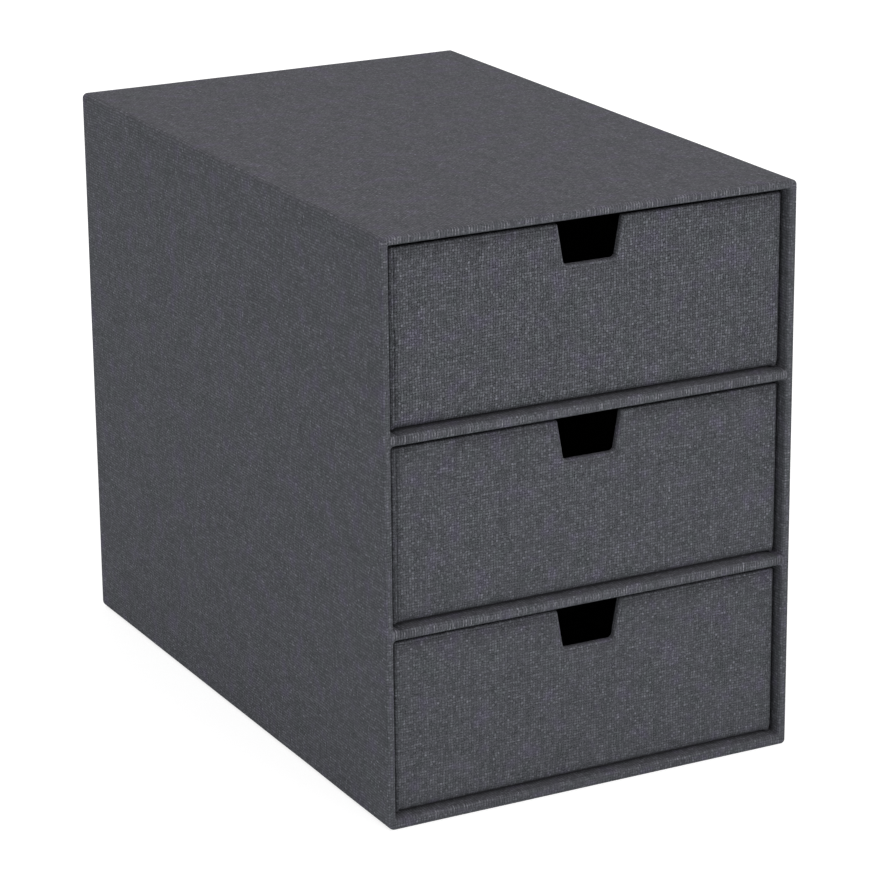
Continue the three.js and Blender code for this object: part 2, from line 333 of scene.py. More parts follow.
def wandering_threads(group, given):
    """The place on the cloth, counted in threads across and along, which wander a little."""
    place = given["Place"]
    pitches = joined(group, given["Pitch across"], given["Pitch along"], 1.0)
    threads = vector_calc(group, "DIVIDE", place, pitches)
    for per_metre, amount in ((drifts_per_metre, given["Drift"]), (wobbles_per_metre, given["Wobble"])):
        push = soft_noise(group, place, per_metre, 1.0)["Color"]
        centred = vector_calc(group, "SUBTRACT", push, (0.5, 0.5, 0.5))
        threads = vector_calc(group, "ADD", threads, scaled(group, centred, amount))
    return add_node(group, "ShaderNodeSeparateXYZ", {0: threads}).outputs


def thread_value(group, number, run, seed, change):
    """A value that changes from thread to thread and slowly along each thread."""
    spot = joined(group, times(group, number, thread_stride), times(group, run, change), seed)
    return minus(group, soft_noise(group, spot, 1.0, 1.0)["Fac"], 0.5)


def woven_group():
    """Tone, with painted shade in the weave's hollows and gaps, height, flecks and patches of dye
    at a place on the cloth.
    """
    group, given, result = new_group(
        "woven_threads",
        {"Place": "NodeSocketVector", "Pitch across": thread_pitch.x, "Pitch along": thread_pitch.y,
         "Drift": thread_drift, "Wobble": thread_wobble, "Unevenness and shade": 1.0, "Fibre": 1.0,
         "Warp gap shade": 1.0, "Fleck share": fleck_share},
        ["Tone", "Height", "Fleck", "Patch"])
    across, along = wandering_threads(group, given)[:2]
    warp, weft = calc(group, "FLOOR", across), calc(group, "FLOOR", along)
    off_warp = minus(group, calc(group, "FRACT", across), 0.5)
    off_weft = minus(group, calc(group, "FRACT", along), 0.5)
    square_warp, square_weft = times(group, off_warp, off_warp), times(group, off_weft, off_weft)
    luck = add_node(
        group, "ShaderNodeTexWhiteNoise", {"Vector": joined(group, warp, weft, crossing_seed)},
        noise_dimensions="3D").outputs
    lucks = add_node(group, "ShaderNodeSeparateColor", {0: luck["Color"]}).outputs
    warp_on_top = calc(group, "FLOORED_MODULO", plus(group, warp, weft), 2.0)

    def on_top(of_warp, of_weft):
        """The warp's value where the warp lies on top, and the weft's elsewhere."""
        return add_node(group, "ShaderNodeMix", {0: warp_on_top, 2: of_weft, 3: of_warp}).outputs[0]

    warp_value = thread_value(group, warp, along, warp_seed, warp_change)
    weft_value = thread_value(group, weft, across, weft_seed, weft_change)
    slack = plus(group, least_slack, times(group, lucks[0], slack_range))
    crown = minus(group, 1.0, times(group, on_top(square_warp, square_weft), slack))
    sink = minus(group, 1.0, times(group, on_top(square_weft, square_warp), crossing_sink))
    bump = times(group, crown, sink)
    swell = plus(
        group, times(group, on_top(warp_value, weft_value), swell_of_thread),
        plus(group, least_swell, times(group, lucks[2], swell_range)))
    height = times(group, bump, swell)

    skewed = minus(group, calc(group, "POWER", luck["Value"], crossing_power), crossing_middle)
    crossing_tone = times(group, times(group, skewed, bump), crossing_contrast)
    thread_tone = plus(
        group, times(group, warp_value, warp_contrast), times(group, weft_value, weft_contrast))
    # Painted shade: the weave is darker where its threads lie low and lighter on their crowns.
    shade = times(group, minus(group, height, relief_shade_middle), relief_shade_contrast)
    # Painted shade: dark lines along the gaps between the threads.
    lines = plus(
        group, times(group, minus(group, gap_shade_middle, square_warp), given["Warp gap shade"]),
        times(group, minus(group, gap_shade_middle, square_weft), weft_gap_shade))
    # Random tones of threads and crossings, together with the painted shade.
    uneven_tone_and_shade = plus(group, plus(group, thread_tone, crossing_tone), plus(group, shade, lines))
    fluff = soft_noise(group, given["Place"], fibres_per_metre, 1.0)["Fac"]
    fibre = times(group, minus(group, fluff, 0.5), given["Fibre"])
    patch = soft_noise(group, given["Place"], patches_per_metre)["Fac"]
    cloud = times(group, minus(group, patch, 0.5), patch_contrast)
    tone = plus(group, times(group, uneven_tone_and_shade, given["Unevenness and shade"]), plus(group, cloud, 1.0))
    tone = calc(group, "MAXIMUM", plus(group, tone, fibre), darkest_tone)
    soft_bump = calc(group, "POWER", calc(group, "MAXIMUM", bump, 0.0), fleck_softness)
    fleck = times(group, calc(group, "LESS_THAN", lucks[1], given["Fleck share"]), soft_bump)
    for name, value in (("Tone", tone), ("Height", height), ("Fleck", fleck), ("Patch", patch)):
        group.links.new(value, result[name])
    return group


woven_threads = woven_group()


def show_face(tree, colour, roughness, gloss, sheen, height, depth, strength):
    """Gives a material its face, with the small relief of its threads or fibres."""
    bump = add_node(tree, "ShaderNodeBump", {"Strength": strength, "Distance": depth, "Height": height})
    face = add_node(tree, "ShaderNodeBsdfPrincipled", {
        "Base Color": colour, "Roughness": roughness, "Normal": bump.outputs[0],
        "Specular IOR Level": gloss, "Sheen Weight": sheen, "Sheen Roughness": cloth_sheen_roughness})
    add_node(tree, "ShaderNodeOutputMaterial", {"Surface": face.outputs[0]})


def cloth_material(name, unevenness_and_shade, fibre, warp_gap_shade):
    """Book cloth: the weave in the piece's own thread map, with soft patches of dye."""
    material, tree = new_material(name)
    place = add_node(tree, "ShaderNodeUVMap", uv_map=thread_map).outputs[0]
    weave = add_node(
        tree, "ShaderNodeGroup",
        {"Place": place, "Unevenness and shade": unevenness_and_shade, "Fibre": fibre, "Warp gap shade": warp_gap_shade},
        node_tree=woven_threads).outputs
    dyed = cloth_tone
    for tint, patches, share in cloth_tints:
        cover = times(tree, spread(tree, weave["Patch"], patches), share)
        dyed = mix_colour(tree, cover, dyed, tint)
    # The weave's tone carries painted shade in the hollows and between the threads.
    shaded = mix_colour(tree, 1.0, dyed, grey(tree, weave["Tone"]), "MULTIPLY")
    colour = mix_colour(tree, times(tree, weave["Fleck"], fleck_cover), shaded, fleck_tone)
    show_face(
        tree, colour, spread(tree, weave["Height"], after=cloth_roughness), cloth_gloss, cloth_sheen,
        weave["Height"], thread_relief, relief_strength)
    return material


# The cover of the case. One length of cloth is glued round the four walls, turned over behind,
# and turned in round the front edges, where it also laps the ends of both shelves. The front
# edges of the boards are rounded, and the paste draws the cloth a little uneven.
cloth_thickness = 0.45 * mm
case_wall = 3.5 * mm
case_floor = 4.5 * mm
nose = 0.9 * mm
inner_nose = 1.4 * mm
long_edge_round = 2.2 * mm
base_left_round = 3.0 * mm
base_right_round = 1.8 * mm
back_edge_round = 0.9 * mm
back_turn_over = 15 * mm
base_turn_under = 14 * mm
front_turn_in = 18 * mm
under_shelf_round = 1.5 * mm
on_shelf_round = 0.6 * mm
floor_corner_round = 0.9 * mm
top_corner_round = 0.5 * mm
shelf_lap = 2.35 * mm
tightest_round = 0.15 * mm
smallest_gap = 0.002 * mm
arc_steps = 6
skin_step = 7 * mm
waviness = 0.09 * mm
wave_length = 45 * mm
wave_middle = 0.5
# The case cloth's unevenness with painted weave shade, its fibre and painted shade between threads.
case_unevenness_and_shade = 0.95
case_fibre = 1.35
case_warp_gap_shade = 1.0


def edge_line(corners, closed=False, spacing=skin_step):
    """Stations along an edge with rounded corners, with the board on the left of the line.

    A corner is a place and a radius, an open line's end a place alone. Each station gives its
    point at any inset into the board, and how far along the cloth it lies.
    """
    places = [Vector(corner[:2]) for corner in corners]
    count = len(corners)
    ways = [(places[(i + 1) % count] - places[i]).normalized() for i in range(count)]
    outs = [Vector((way.y, -way.x)) for way in ways]

    def end_point(i):
        out = outs[min(i, count - 2)]
        return lambda inset: places[i] - out * inset

    def round_point(i, share):
        before, after = outs[i - 1], outs[i]
        mitre = (before + after) / (1 + before.dot(after))
        angle = before.angle(after)
        out = (before * math.sin((1 - share) * angle) + after * math.sin(share * angle)).normalized()
        radius = corners[i][2]
        if ways[i - 1].cross(ways[i]) < 0:
            return lambda inset: places[i] + mitre * radius - out * (radius + inset)

        def outer_corner(inset):
            left = max(radius - inset, tightest_round)
            return places[i] - mitre * (inset + left) + out * left
        return outer_corner

    def at_corner(i):
        if not closed and i in (0, count - 1):
            return [end_point(i)]
        return [round_point(i, step / arc_steps) for step in range(arc_steps + 1)]

    def between(here, there, share):
        return lambda inset: here(inset).lerp(there(inset), share)

    stations = []
    for i in range(count):
        stations += at_corner(i)
        if closed or i < count - 1:
            here, there = stations[-1], at_corner((i + 1) % count)[0]
            steps = max(1, round((there(0) - here(0)).length / spacing))
            stations += [between(here, there, step / steps) for step in range(1, steps)]
    if closed:
        stations.append(stations[0])
    along = [0.0]
    for here, there in zip(stations, stations[1:]):
        along.append(along[-1] + (there(0) - here(0)).length)
    return list(zip(stations, along))


def arc(centre, radii, first, turn):
    """Points of a quarter of an ellipse, counted in quarter turns."""
    angles = [(first + turn * step / arc_steps) * math.pi / 2 for step in range(arc_steps + 1)]
    return [Vector((centre[0] + radii[0] * math.cos(a), centre[1] + radii[1] * math.sin(a))) for a in angles]


def round_arc(across, up, radius, first, turn):
    """The same of a circle."""
    return arc((across, up), (radius, radius), first, turn)


def spaced(points):
    """The same run of points with none further apart than a step of the skin."""
    run = [Vector(points[0])]
    for here, there in zip(points, points[1:]):
        here, there = Vector(here), Vector(there)
        steps = max(1, math.ceil((there - here).length / skin_step))
        run += [here.lerp(there, step / steps) for step in range(1, steps + 1)]
    return run


def with_lengths(points, start=0.0):
    """The same points, each with the length of the run up to it."""
    lengths = [start]
    for here, there in zip(points, points[1:]):
        lengths.append(lengths[-1] + (there - here).length)
    return list(zip(points, lengths))


def upright(reach, inset, y):
    """The point at an inset from an edge that runs in an upright plane, at this depth."""
    x, z = reach(inset)
    return Vector((x, y, z))


def new_shell():
    shell = bmesh.new()
    shell.loops.layers.uv.new(thread_map)
    return shell


def add_strip(shell, columns):
    """Faces between columns of points with their places on the cloth, facing out."""
    layer = shell.loops.layers.uv[thread_map]
    made = [[shell.verts.new(point) for point, cloth_place in column] for column in columns]
    for c in range(len(columns) - 1):
        for k in range(len(columns[c]) - 1):
            corners = [(c, k), (c + 1, k), (c + 1, k + 1), (c, k + 1)]
            face = shell.faces.new([made[i][j] for i, j in corners])
            for loop, (i, j) in zip(face.loops, corners):
                loop[layer].uv = columns[i][j][1]


def join_up(shell):
    bmesh.ops.remove_doubles(shell, verts=shell.verts, dist=smallest_gap)


def open_edges(shell, belongs):
    """The open edges of the skin whose two ends belong to a rim."""
    return [edge for edge in shell.edges if edge.is_boundary and all(belongs(v.co) for v in edge.verts)]


def fill_rim(shell, rim, facing):
    """Flat faces across a rim of edges, turned to face this way."""
    filled = bmesh.ops.triangle_fill(shell, use_beauty=True, edges=rim, normal=facing)
    faces = [made for made in filled["geom"] if isinstance(made, bmesh.types.BMFace)]
    for face in faces:
        if face.normal.dot(Vector(facing)) < 0:
            face.normal_flip()
    return faces


def settle(shell):
    """Lets the skin rise and fall softly, as paste and board edges leave it."""
    shell.normal_update()
    moves = [
        vert.normal * waviness * (wave_middle + noise.noise(vert.co / wave_length))
        for vert in shell.verts]
    for vert, move in zip(shell.verts, moves):
        vert.co += move


def finish_shell(shell, name, body, node, material, thickness=cloth_thickness):
    """Makes the skin a piece of its own, with its thickness on the hidden side."""
    join_up(shell)
    for face in shell.faces:
        face.smooth = True
    mesh = bpy.data.meshes.new(name)
    shell.to_mesh(mesh)
    shell.free()
    mesh.materials.append(material)
    piece = new_object(name, mesh)
    solid = piece.modifiers.new("thickness", "SOLIDIFY")
    solid.thickness = thickness
    solid.offset = -1
    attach(piece, body)
    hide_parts(node)


cover_low, cover_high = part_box("case_cover_cloth")
shelf_boxes = {name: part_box(name + "_cloth") for name in ("lower_shelf", "upper_shelf")}
front_y = cover_low.y
turn_in_y = front_y + front_turn_in
inner_x = cover_high.x - case_wall
lap_x = inner_x - shelf_lap
bay_floors = [cover_low.z + case_floor] + [high.z for low, high in shelf_boxes.values()]
bay_tops = [low.z for low, high in shelf_boxes.values()] + [cover_high.z - case_wall]
case_cloth = cloth_material("case_cloth", case_unevenness_and_shade, case_fibre, case_warp_gap_shade)


def cover_outside(shell):
    """The skin from its edge behind, over the walls, to the crest of the front edge."""
    left, right, low, high = cover_low.x, cover_high.x, cover_low.z, cover_high.z
    line = edge_line([
        (0, low), (right, low, base_right_round), (right, high, long_edge_round),
        (left, high, long_edge_round), (left, low, base_left_round), (0, low)])
    back = cover_high.y
    section = [(back_turn_over, back)]
    section += round_arc(back_edge_round, back - back_edge_round, back_edge_round, 1, 1)
    section += [(0, back - base_turn_under), (0, front_y + base_turn_under)]
    section += round_arc(nose, front_y + nose, nose, 2, 1)
    rows = with_lengths(spaced(section))
    add_strip(shell, [
        [(upright(reach, row.x, row.y), (along, v)) for row, v in rows] for reach, along in line])
    return rows[-1][1]


def window_lines():
    """The edges of the three bays, apart from what the shelves' own cloth covers."""
    def corners(bay, low_round, high_round):
        floor, top = bay_floors[bay], bay_tops[bay]
        return {
            "low_right": (inner_x, floor, low_round), "low_left": (-inner_x, floor, low_round),
            "high_left": (-inner_x, top, high_round), "high_right": (inner_x, top, high_round),
            "floor_right": (lap_x, floor), "floor_left": (-lap_x, floor),
            "top_right": (lap_x, top), "top_left": (-lap_x, top)}
    lowest = corners(0, floor_corner_round, under_shelf_round)
    middle = corners(1, on_shelf_round, under_shelf_round)
    highest = corners(2, on_shelf_round, top_corner_round)
    runs = (
        (lowest, "top_right high_right low_right low_left high_left top_left"),
        (middle, "floor_left low_left high_left top_left"),
        (highest, "floor_left low_left high_left high_right low_right floor_right"),
        (middle, "top_right high_right low_right floor_right"))
    return [[places[name] for name in names.split()] for places, names in runs]


def cover_windows(shell, crest_length):
    """The skin from inside each bay, out over the rounded front edge to its crest."""
    section = [(0, turn_in_y)] + round_arc(inner_nose, front_y + inner_nose, inner_nose, 2, 1)
    rows = with_lengths(spaced(section))
    far_end = crest_length + case_wall - nose - inner_nose + rows[-1][1]
    ends = []
    for corners in window_lines():
        line = edge_line(corners)
        start = corners[1][1]
        add_strip(shell, [
            [(upright(reach, row.x, row.y), (along + start, far_end - v)) for row, v in rows]
            for reach, along in line])
        ends += [line[0][0](inner_nose), line[-1][0](inner_nose)]
    return ends


def cover_crest(shell, crest_length, ends):
    """The narrow flat crest between the rounded edges outside and those round the bays."""
    join_up(shell)
    rim = open_edges(shell, lambda place: abs(place.y - front_y) < smallest_gap)
    crest_verts = {vert for edge in rim for vert in edge.verts}

    def nearest(point):
        return min(crest_verts, key=lambda vert: (vert.co.x - point.x) ** 2 + (vert.co.z - point.y) ** 2)

    for here, there in zip(ends[1::2], ends[2::2] + ends[:1]):
        rim.append(shell.edges.new((nearest(here), nearest(there))))
    layer = shell.loops.layers.uv[thread_map]
    for face in fill_rim(shell, rim, (0, -1, 0)):
        for loop in face.loops:
            x, z = loop.vert.co.x, loop.vert.co.z
            if abs(face.calc_center_median().x) > inner_x:
                loop[layer].uv = (z, crest_length + cover_high.x - nose - abs(x))
            else:
                loop[layer].uv = (x, crest_length + z - cover_low.z - nose)


def cut_base_window(shell):
    """Under the base only a turned-under edge of cloth is left round the base sheet."""
    half = cover_high.x - base_turn_under
    first_y, last_y = front_y + base_turn_under, cover_high.y - base_turn_under

    def base_faces():
        return [face for face in shell.faces if face.calc_center_median().z < cover_low.z + smallest_gap]

    for x in (half, -half):
        under = base_faces()
        parts = under + list({e for f in under for e in f.edges}) + list({v for f in under for v in f.verts})
        bmesh.ops.bisect_plane(shell, geom=parts, dist=smallest_gap, plane_co=(x, 0, 0), plane_no=(1, 0, 0))
    gone = []
    for face in base_faces():
        centre = face.calc_center_median()
        if abs(centre.x) < half and first_y < centre.y < last_y:
            gone.append(face)
    bmesh.ops.delete(shell, geom=gone, context="FACES")


def add_case_cover():
    shell = new_shell()
    crest_length = cover_outside(shell)
    ends = cover_windows(shell, crest_length)
    cover_crest(shell, crest_length, ends)
    cut_base_window(shell)
    settle(shell)
    finish_shell(shell, "case_cover", "case", "case_cover_cloth", case_cloth)


add_case_cover()


# The shelves. Each is a board with cloth wrapped over its front edge, which is rounded as the
# case's front edges are, and glued in between the lined walls.
def add_shelf_cover(name, low, high):
    thickness = high.z - low.z
    back = high.y
    section = [(back, thickness), (turn_in_y, thickness)]
    section += round_arc(front_y + nose, thickness - nose, nose, 1, 1)
    section += round_arc(front_y + inner_nose, inner_nose, inner_nose, 2, 1)
    section += [(turn_in_y, 0), (back, 0)]
    rows = with_lengths(spaced(section))
    steps = round(2 * lap_x / skin_step)
    columns = []
    for step in range(steps + 1):
        x = lap_x * (2 * step / steps - 1)
        column = []
        for row, v in rows:
            is_end = step in (0, steps)
            wide = math.copysign(high.x, x) if is_end and row.x > turn_in_y + smallest_gap else x
            column.append((Vector((wide, row.x, low.z + row.y)), (x, -v)))
        columns.append(column[::-1])
    shell = new_shell()
    add_strip(shell, columns)
    settle(shell)
    finish_shell(shell, name + "_cover", "case", name + "_cloth", case_cloth)


for shelf, (shelf_low, shelf_high) in shelf_boxes.items():
    add_shelf_cover(shelf, shelf_low, shelf_high)


# The drawers. Walls and a floor of thinner board are covered by one length of the same cloth,
# which runs through the finger notch, over the top edges and down inside. Its ends meet beside
# the left front corner, where a shallow groove shows on the upper two drawers.
drawer_wall = 3.5 * mm
drawer_nose = 0.95 * mm
drawer_inner_nose = 1.15 * mm
drawer_corner_round = 1.4 * mm
roll_depth = 3.2 * mm
roll_height = 4.5 * mm
roll_lift = 0.42 * mm
side_roll_share = 0.12
drawer_turn_in = 24 * mm
drawer_turn_under = 12 * mm
turn_in_rows = 4
seam_width = 0.8 * mm
seam_side_share = 0.2
notch_top = 29.8 * mm
notch_bottom = 23.8 * mm
notch_depth = 17.15 * mm
notch_mouth_round = 0.6 * mm
notch_corner_round = 2.0 * mm
notch_step = 2.5 * mm
facing_depth = 1 * mm
drawer_seam_depth = {"lower_drawer": 0, "middle_drawer": 0.45 * mm, "upper_drawer": 0.5 * mm}
# The unevenness with its painted weave shade, the fibre, and the painted shade between warp
# threads of each drawer's cloth.
drawer_cloths = {
    "lower_drawer": (1.05, 2.0, 0.5), "middle_drawer": (1.1, 2.05, 0.6), "upper_drawer": (1.18, 2.4, 1.1)}


def drawer_stations(body):
    """Stations round a drawer's top edge, from the middle of the back and back to it.

    Each gives X, Y and the drop below the top for an inset from the edge and a depth from the
    outer face, the place along the edge, and the place across the face.
    """
    low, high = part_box(body + "_cover_cloth")
    left, right, front, back = low.x, high.x, low.y, high.y
    corner = drawer_corner_round
    end_x = right - corner
    top_half, bottom_half = notch_top / 2, notch_bottom / 2
    first = edge_line([(0, back), (left, back, corner), (left, front, corner), (-end_x, front)])
    second = edge_line([(end_x, front), (right, front, corner), (right, back, corner), (0, back)])
    middle = edge_line([
        (-end_x, 0), (-top_half, 0, notch_mouth_round),
        (-bottom_half, notch_depth, notch_corner_round),
        (bottom_half, notch_depth, notch_corner_round), (top_half, 0, notch_mouth_round),
        (end_x, 0)], spacing=notch_step)

    def plan(reach):
        return lambda inset, depth: (*reach(depth), inset)

    def front_place(reach, sunk=0):
        def place(inset, depth):
            x, drop = reach(inset)
            pull = max(0, depth + tightest_round - corner)
            ramp = max(0, (abs(x) - top_half - corner) / (end_x - top_half - corner))
            return x - math.copysign(pull * ramp, x), front + max(depth, sunk), drop
        return place

    def flat_reach(x):
        return lambda inset: (x, inset)

    total, edge_total = first[-1][1], middle[-1][1]
    seam_depth = drawer_seam_depth[body]
    stations = []
    for reach, along in first[:-1]:
        stations.append((plan(reach), along - total - end_x, along - total - end_x))
    stations.append((front_place(middle[0][0]), -end_x, -end_x))
    for share, sunk in ((seam_side_share, seam_depth), (1 - seam_side_share, seam_depth), (1, 0)):
        x = seam_width * share - end_x
        stations.append((front_place(flat_reach(x), sunk), x, x))
    for reach, along in middle[1:]:
        edge = along - end_x if along < edge_total / 2 else along - edge_total + end_x
        stations.append((front_place(reach), edge, reach(0).x))
    for reach, along in second[1:]:
        stations.append((plan(reach), along + end_x, along + end_x))
    return stations


def front_share(place):
    """One where a drawer's wall faces the front, zero at its sides and back, between at corners."""
    outer, inner = Vector(place(drawer_nose, 0)), Vector(place(drawer_nose, facing_depth))
    return max(0, (inner - outer).normalized().y)


def outside_column(place, across, low, top):
    """The cloth from its edge under a drawer, round the rolled lower edge and up the wall."""
    roll_top = low.z + roll_height
    roll = arc((roll_depth, roll_top), (roll_depth, roll_height - roll_lift), 3, -1)
    under = spaced([(drawer_turn_under, low.z)] + roll)
    roll_share = side_roll_share + (1 - side_roll_share) * front_share(place)
    flat_depth = drawer_turn_under - roll_depth * roll_share
    column = []
    for row, v in with_lengths(under, roll_top - with_lengths(under)[-1][1]):
        past = max(0, row.x - roll_depth) / (drawer_turn_under - roll_depth)
        x, y, drop = place(drawer_nose, min(row.x, roll_depth) * roll_share + past * flat_depth)
        column.append((Vector((x, y, row.y)), (across, v)))
    x, y, drop = place(drawer_nose, 0)
    rows = math.ceil((top - roll_top) / skin_step)
    for step in range(1, rows + 1):
        z = roll_top + (top - drop - roll_top) * step / rows
        column.append((Vector((x, y, z)), (x if abs(y - low.y) < smallest_gap else across, z)))
    return column


def add_drawer_cover(body):
    low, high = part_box(body + "_cover_cloth")
    top = high.z
    nose_run = round_arc(drawer_nose, drawer_nose, drawer_nose, 3, -1)
    nose_run += round_arc(drawer_inner_nose, drawer_wall - drawer_inner_nose, drawer_inner_nose, 2, -1)
    nose_rows = with_lengths(nose_run, top - drawer_nose)
    nose_end = nose_rows[-1][1]
    outside, rim, inside = [], [], []
    for place, edge, across in drawer_stations(body):
        outside.append(outside_column(place, across, low, top))
        column = []
        for row, v in nose_rows:
            x, y, drop = place(row.x, row.y)
            column.append((Vector((x, y, top - drop)), (edge, v)))
        rim.append(column)
        column = []
        x, y, drop = place(drawer_inner_nose, drawer_wall)
        for step in range(turn_in_rows + 1):
            z = top - drop + (drop - drawer_turn_in) * step / turn_in_rows
            column.append((Vector((x, y, z)), (across, nose_end + top - z)))
        inside.append(column)
    shell = new_shell()
    for strip in (outside, rim, inside):
        add_strip(shell, strip)
    settle(shell)
    cloth = cloth_material(body + "_cloth", *drawer_cloths[body])
    finish_shell(shell, body + "_cover", body, body + "_cover_cloth", cloth)


for drawer in drawer_cloths:
    add_drawer_cover(drawer)


# Lining. A sheet of dark grey paper covers the walls and the floor of each drawer inside, up to
# the turned-in cloth, and rounds softly into the corners where the paste has pulled it.
lining_thickness = 0.45 * mm
lining_corner_round = 1.4 * mm
lining_floor_round = 1.2 * mm
lining_tone = (0.047, 0.048, 0.055, 1)
lining_fibre_tone = (0.075, 0.076, 0.084, 1)
lining_fibres = 900.0
lining_stretch = 5.0
lining_roughness = 0.84
lining_relief = 0.05 * mm
bends_per_metre = 220.0
fibre_bend = 9.0
fibre_axis = (0.4, 0.5, 0.77)
fibre_detail = 4.0
fibre_roughness = 0.65
clouds_per_metre = 45.0
cloud_detail = 3.0
teeth_per_metre = 2600.0
fibre_range = (0.42, 0.75)
cloud_range = (0.3, 0.7)
cloud_tones = (0.88, 1.12)
smoother = 0.12
rougher = 0.08
tooth_share = 0.4
sheet_relief_strength = 0.6
sheet_gloss = 0.3


def fibre_group():
    """Fibres, cloudy density and fine tooth of a pressed sheet, at a place on it."""
    group, given, result = new_group(
        "pressed_fibres",
        {"Place": "NodeSocketVector", "Fibres per metre": lining_fibres, "Stretch": lining_stretch},
        ["Fibre", "Cloud", "Tooth"])
    place = given["Place"]
    bend = soft_noise(group, place, bends_per_metre)["Fac"]
    turned = add_node(
        group, "ShaderNodeVectorRotate",
        {"Vector": place, "Angle": times(group, bend, fibre_bend), "Axis": fibre_axis},
        rotation_type="AXIS_ANGLE").outputs[0]
    drawn = vector_calc(group, "MULTIPLY", turned, joined(group, 1.0, given["Stretch"], 1.0))
    fibre = soft_noise(group, drawn, given["Fibres per metre"], fibre_detail, fibre_roughness)
    cloud = soft_noise(group, place, clouds_per_metre, cloud_detail)
    tooth = soft_noise(group, place, teeth_per_metre)
    for name, outputs in (("Fibre", fibre), ("Cloud", cloud), ("Tooth", tooth)):
        group.links.new(outputs["Fac"], result[name])
    return group


pressed_fibres = fibre_group()


def sheet_material(name, tone, fibre_tone, per_metre, stretch, rough, relief_height):
    """Paper or board: pressed fibres lighter than the ground, in soft clouds."""
    material, tree = new_material(name)
    place = add_node(tree, "ShaderNodeTexCoord").outputs["Object"]
    sheet = add_node(
        tree, "ShaderNodeGroup", {"Place": place, "Fibres per metre": per_metre, "Stretch": stretch},
        node_tree=pressed_fibres).outputs
    fibres = mix_colour(tree, spread(tree, sheet["Fibre"], fibre_range), tone, fibre_tone)
    cloud = grey(tree, spread(tree, sheet["Cloud"], cloud_range, cloud_tones))
    relief = plus(tree, sheet["Fibre"], times(tree, sheet["Tooth"], tooth_share))
    show_face(
        tree, mix_colour(tree, 1.0, fibres, cloud, "MULTIPLY"),
        spread(tree, sheet["Tooth"], after=(rough - smoother, rough + rougher)), sheet_gloss, 0.0,
        relief, relief_height, sheet_relief_strength)
    return material


lining_paper = sheet_material(
    "lining_paper", lining_tone, lining_fibre_tone, lining_fibres, lining_stretch, lining_roughness,
    lining_relief)


def add_drawer_lining(body):
    low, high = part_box(body + "_lining")
    left, right = low.x + lining_thickness, high.x - lining_thickness
    front, back = low.y + lining_thickness, high.y - lining_thickness
    floor = low.z + lining_thickness
    corners = ((left, back), (right, back), (right, front), (left, front))
    line = edge_line([(*corner, lining_corner_round) for corner in corners], closed=True)
    section = round_arc(-lining_floor_round, floor + lining_floor_round, lining_floor_round, 3, 1)
    rows = with_lengths(spaced(section + [(0, high.z)]))
    shell = new_shell()
    add_strip(shell, [
        [(Vector((*reach(row.x), row.y)), (along, v)) for row, v in rows] for reach, along in line])
    join_up(shell)
    fill_rim(shell, open_edges(shell, lambda place: place.z < floor + smallest_gap), (0, 0, 1))
    finish_shell(shell, body + "_inside", body, body + "_lining", lining_paper, lining_thickness)


for drawer in drawer_cloths:
    add_drawer_lining(drawer)


# The back of the case. A panel of the same cloth is glued over the back board and the turned
# edges, with its own edges soft, and sinks a little inside the frame of turned-over cloth.
panel_edge_round = 0.3 * mm
panel_sink = 0.35 * mm
panel_slope = 2.0 * mm
panel_slope_shares = ((1, 1), (0.5, 0.6), (0, 0.1), (-0.5, 0))
panel_corner_round = 2.0 * mm


def add_back_panel():
    low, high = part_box("back_cover_cloth")
    frame_width = back_turn_over - (low.x - cover_low.x)
    corners = ((low.x, low.z), (high.x, low.z), (high.x, high.z), (low.x, high.z))
    line = edge_line([(*corner, panel_corner_round) for corner in corners], closed=True)
    face = high.y
    section = [
        (frame_width + panel_slope * further, face - panel_sink * sunk)
        for further, sunk in panel_slope_shares]
    section.append((panel_edge_round, face))
    section += round_arc(panel_edge_round, face - panel_edge_round, panel_edge_round, 1, 1)
    shell = new_shell()
    add_strip(shell, [
        [(upright(reach, inset, y), (0, 0)) for inset, y in section] for reach, along in line])
    join_up(shell)

    def in_field(place):
        beside = abs(place.x) < high.x - frame_width
        return beside and low.z + frame_width < place.z < high.z - frame_width

    fill_rim(shell, open_edges(shell, in_field), (0, 1, 0))
    layer = shell.loops.layers.uv[thread_map]
    for made in shell.faces:
        for loop in made.loops:
            loop[layer].uv = (loop.vert.co.x, loop.vert.co.z)
    finish_shell(shell, "back_panel", "case", "back_cover_cloth", case_cloth)


add_back_panel()


# Boards, base papers and the lining of the case. The boards are grey-brown pressed pulp, hidden
# by cloth and lining. The sheets under the case and the drawers are charcoal paper.
board_tone = (0.225, 0.2, 0.16, 1)
board_fibre_tone = (0.38, 0.35, 0.29, 1)
paper_tone = (0.036, 0.037, 0.042, 1)
paper_fibre_tone = (0.055, 0.056, 0.062, 1)
sheet_finishes = {
    "board": sheet_material(
        "pulp_board", board_tone, board_fibre_tone, per_metre=650.0, stretch=3.0, rough=0.92,
        relief_height=0.08 * mm),
    "paper": sheet_material(
        "base_paper", paper_tone, paper_fibre_tone, per_metre=1200.0, stretch=7.0, rough=0.8,
        relief_height=0.03 * mm),
    "lining": lining_paper}
for subpart in frame["record"]["subparts"]:
    if subpart["material_slot"] in sheet_finishes:
        cad_piece = frame["nodes"][subpart["node"]]
        cad_piece.material_slots[0].material = sheet_finishes[subpart["material_slot"]]


